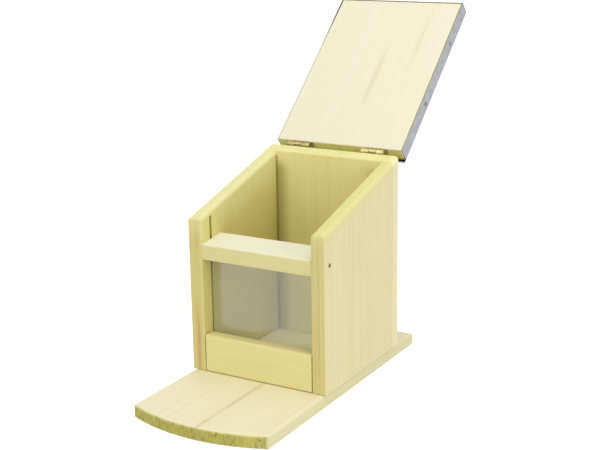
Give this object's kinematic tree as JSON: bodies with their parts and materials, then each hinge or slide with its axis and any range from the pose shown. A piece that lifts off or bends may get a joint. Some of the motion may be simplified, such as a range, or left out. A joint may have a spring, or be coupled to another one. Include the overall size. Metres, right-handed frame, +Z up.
{
  "type": "squirrel feeding station",
  "caption": "Pine hopper with a clear window, a landing board and a hinged, sheet-covered sloping lid that a squirrel lifts to reach the food inside.",
  "frame": {"origin": "middle of the base board's underside, on the floor", "axes": "+Z up, the curved front edge and window face -Y, +X to the right when seen from the front"},
  "size_m": [0.131, 0.3825, 0.3052],
  "materials": {
    "glazed_pine": "pale glazed pine, eased edges",
    "honey_pine": "yellow glazed pine, grain across",
    "pale_pine": "palest pine, hardly glazed",
    "clear_acrylic": "clear acrylic pane",
    "zinc_sheet": "zinc-coated folded sheet",
    "brass": "plain stamped brass",
    "nail_steel": "plain steel nails and screws"
  },
  "bodies": {
    "housing": {"base_board": "glazed_pine", "left_side_panel": "glazed_pine", "right_side_panel": "glazed_pine", "back_panel": "glazed_pine", "front_board": "honey_pine", "front_rail": "pale_pine", "window_pane": "clear_acrylic", "left_hinge_fixed_leaf": "brass", "left_hinge_pin": "brass", "left_hinge_fixed_screws": "brass", "right_hinge_fixed_leaf": "brass", "right_hinge_pin": "brass", "right_hinge_fixed_screws": "brass", "rail_nails": "nail_steel", "back_panel_nails": "nail_steel", "base_screws": "nail_steel"},
    "lid": {"lid_board": "pale_pine", "lid_cover": "zinc_sheet", "lid_cover_nails": "nail_steel", "left_hinge_lid_leaf": "brass", "left_hinge_lid_screws": "brass", "right_hinge_lid_leaf": "brass", "right_hinge_lid_screws": "brass"}
  },
  "joints": [
    {"name": "lid_hinge", "type": "hinge", "parent": "housing", "child": "lid", "pos_m": [0, 0.1046, 0.18648], "axis": [1, 0, 0], "range_deg": [0, 154.6]}
  ]
}
